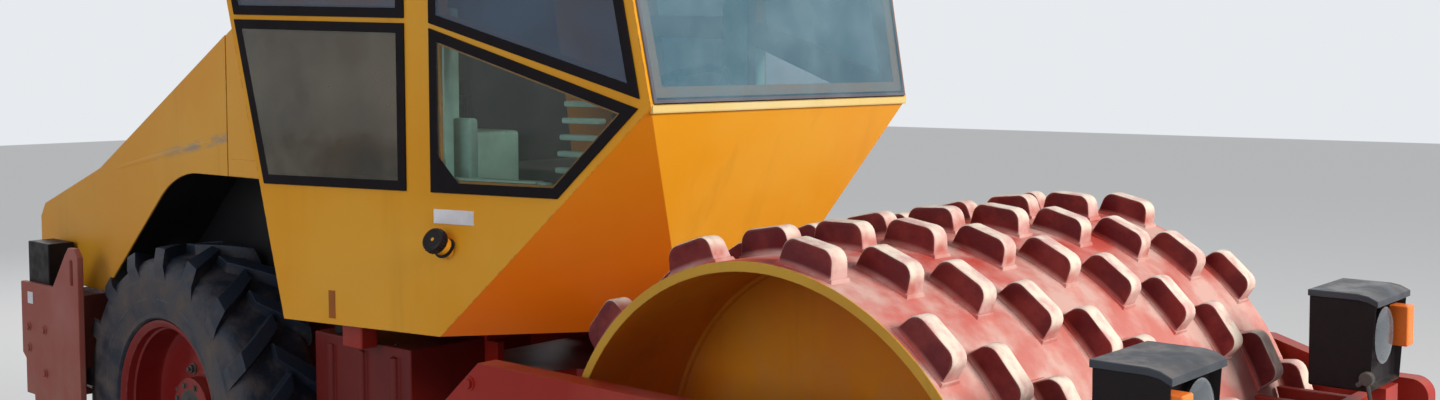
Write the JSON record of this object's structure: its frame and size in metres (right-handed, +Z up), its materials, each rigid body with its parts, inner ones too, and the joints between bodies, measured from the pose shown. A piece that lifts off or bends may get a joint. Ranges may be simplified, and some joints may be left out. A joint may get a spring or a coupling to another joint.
{
  "type": "single drum padfoot road roller",
  "caption": "Articulated soil compactor with a padfoot drum in front, a glazed cab, an engine hood and two lugged drive tyres.",
  "frame": {"origin": "on the ground, at the middle of the machine's length and width", "axes": "+X forward to the drum, +Y to the left, +Z up"},
  "size_m": [4.6, 1.9018, 2.82],
  "materials": {
    "yellow_paint": "satin",
    "red_paint": "satin",
    "drum_paint": "worn",
    "black_paint": "satin",
    "tyre": "matte",
    "glass": "clear",
    "steel": "worn",
    "chrome": "polished",
    "cast_iron": "rough",
    "fabric": "woven",
    "pale_plastic": "matte",
    "black_plastic": "matte",
    "rubber": "matte"
  },
  "bodies": {
    "rear": {"rear_axle": "cast_iron", "rear_frame": "red_paint", "side_tanks": "red_paint", "rear_bumper": "red_paint", "rear_lamps": "black_plastic", "engine_block": "cast_iron", "radiator": "black_paint", "engine_cowl": "yellow_paint", "cab_side_right": "yellow_paint", "side_glass_right": "glass", "cab_side_left": "yellow_paint", "side_glass_left": "glass", "cab_nose": "yellow_paint", "screen_frame": "yellow_paint", "windscreen": "glass", "cab_rear": "yellow_paint", "rear_glass": "glass", "cab_floor": "black_paint", "cab_roof": "yellow_paint", "seat_base": "black_plastic", "seat": "fabric", "console": "pale_plastic", "dashboard": "pale_plastic", "steering_column": "black_plastic", "steps": "red_paint", "inner_fenders": "black_paint"},
    "drum": {"drum_shell": "drum_paint", "drum_bulkheads": "yellow_paint"},
    "front": {"front_frame": "red_paint", "drum_supports": "cast_iron", "scrapers": "red_paint", "front_lamps": "black_plastic"},
    "link": {"centre_link": "red_paint"},
    "wheel_right": {"tyre_right": "tyre", "rim_right": "red_paint"},
    "wheel_left": {"tyre_left": "tyre", "rim_left": "red_paint"},
    "ram_barrel_r": {"ram_barrel_right": "black_paint"},
    "ram_barrel_l": {"ram_barrel_left": "black_paint"},
    "ram_rod_r": {"ram_rod_right": "chrome"},
    "ram_rod_l": {"ram_rod_left": "chrome"},
    "hood": {"hood": "yellow_paint"},
    "door": {"door_panel": "yellow_paint", "door_glass": "glass"},
    "wheel_of_column": {"steering_wheel": "black_plastic"}
  },
  "joints": [
    {"name": "steer", "type": "hinge", "parent": "rear", "child": "link", "pos_m": [0.055, 0, 0.64], "axis": [0, 0, 1], "range_deg": [-38, 38]},
    {"name": "oscillation", "type": "hinge", "parent": "link", "child": "front", "pos_m": [0.055, 0, 0.64], "axis": [1, 0, 0], "range_deg": [-9, 9]},
    {"name": "drum_turn", "type": "hinge", "parent": "front", "child": "drum", "pos_m": [1.355, 0, 0.70009], "axis": [0, 1, 0], "continuous": true},
    {"name": "wheel_turn_right", "type": "hinge", "parent": "rear", "child": "wheel_right", "pos_m": [-1.273, -0.6455, 0.578], "axis": [0, 1, 0], "continuous": true},
    {"name": "wheel_turn_left", "type": "hinge", "parent": "rear", "child": "wheel_left", "pos_m": [-1.273, 0.6455, 0.578], "axis": [0, 1, 0], "continuous": true},
    {"name": "hood_tilt", "type": "hinge", "parent": "rear", "child": "hood", "pos_m": [-0.91485, 0, 1.88203], "axis": [0, 1, 0], "range_deg": [0, 50]},
    {"name": "door_swing", "type": "hinge", "parent": "rear", "child": "door", "pos_m": [-0.40474, 0.82459, 1.066], "axis": [-0.2184, 0.0437, 0.9749], "range_deg": [0, 80]},
    {"name": "steering_wheel_turn", "type": "hinge", "parent": "rear", "child": "wheel_of_column", "pos_m": [0.5, 0, 1.444], "axis": [-0.5, 0, 0.866], "continuous": true},
    {"name": "ram_swing_right", "type": "hinge", "parent": "rear", "child": "ram_barrel_r", "pos_m": [-0.585, -0.25, 0.64], "axis": [0, 0, 1], "range_deg": [-1.72, 1.72]},
    {"name": "ram_slide_right", "type": "slide", "parent": "ram_barrel_r", "child": "ram_rod_r", "axis": [0.9985, 0.0546, 0], "range_m": [-0.13856, 0.13856]},
    {"name": "ram_swing_left", "type": "hinge", "parent": "rear", "child": "ram_barrel_l", "pos_m": [-0.585, 0.25, 0.64], "axis": [0, 0, 1], "range_deg": [-1.72, 1.72]},
    {"name": "ram_slide_left", "type": "slide", "parent": "ram_barrel_l", "child": "ram_rod_l", "axis": [0.9985, -0.0546, 0], "range_m": [-0.13856, 0.13856]}
  ],
  "couplings": [
    {"joint": "ram_swing_right", "follows": "steer", "ratio": -0.03223},
    {"joint": "ram_slide_right", "follows": "steer", "m_per_rad": 0.20439},
    {"joint": "ram_swing_left", "follows": "steer", "ratio": -0.03223},
    {"joint": "ram_slide_left", "follows": "steer", "m_per_rad": -0.20439}
  ]
}
